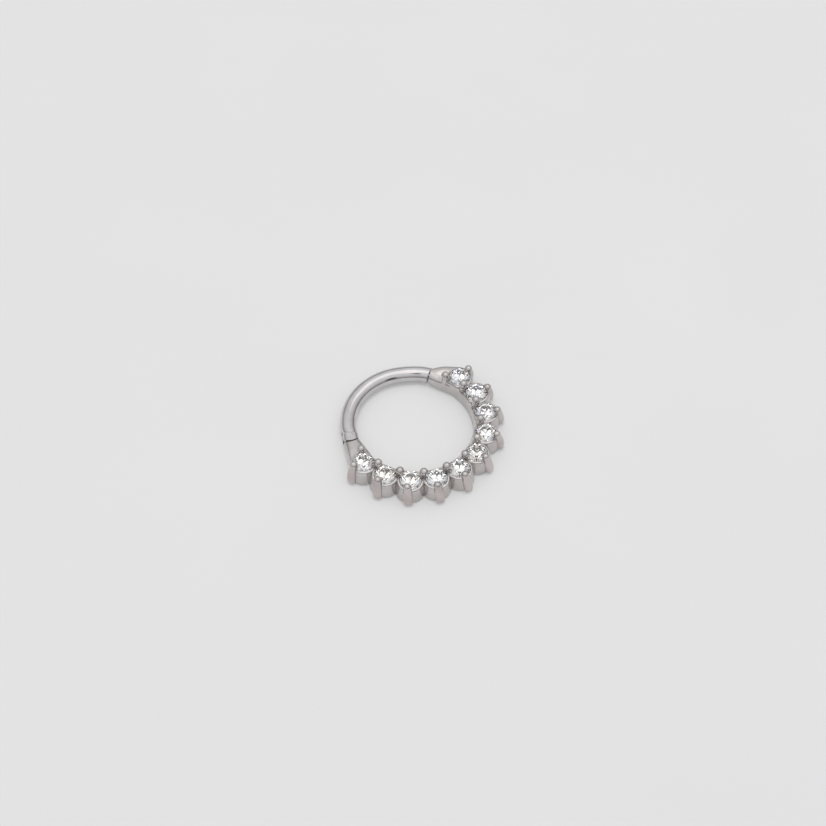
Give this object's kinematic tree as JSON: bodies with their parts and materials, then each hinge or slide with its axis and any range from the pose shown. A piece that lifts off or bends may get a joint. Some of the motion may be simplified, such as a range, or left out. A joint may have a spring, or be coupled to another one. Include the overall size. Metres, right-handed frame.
{
  "type": "hinged daith ring",
  "caption": "Small hinged body jewellery ring: a plain round bar closes a jewelled arc of claw-set round stones.",
  "frame": {"origin": "on the surface that the ring lies on, under the middle of its outline", "axes": "+Z along the ring's axis, out of the stones' tables; +Y from the origin to the middle of the plain bar; the hinge is towards -X and the catch towards +X"},
  "size_m": [0.0132, 0.0122, 0.002],
  "materials": {
    "setting_steel": "polished cast steel, faintly warm, softer in the recesses",
    "bar_steel": "mirror polished drawn steel",
    "pin_steel": "filed flush",
    "stone": "clear round brilliant, high lustre"
  },
  "bodies": {
    "setting": {"jewelled_arc": "setting_steel", "hinge_pin": "pin_steel", "stone_1": "stone", "stone_2": "stone", "stone_3": "stone", "stone_4": "stone", "stone_5": "stone", "stone_6": "stone", "stone_7": "stone", "stone_8": "stone", "stone_9": "stone", "stone_10": "stone"},
    "bar": {"plain_bar": "bar_steel"}
  },
  "joints": [
    {"name": "bar_hinge", "type": "hinge", "parent": "setting", "child": "bar", "pos_m": [-0.00405, 0.00325, 0.0006], "axis": [0, 0, 1], "range_deg": [0, 65]}
  ]
}
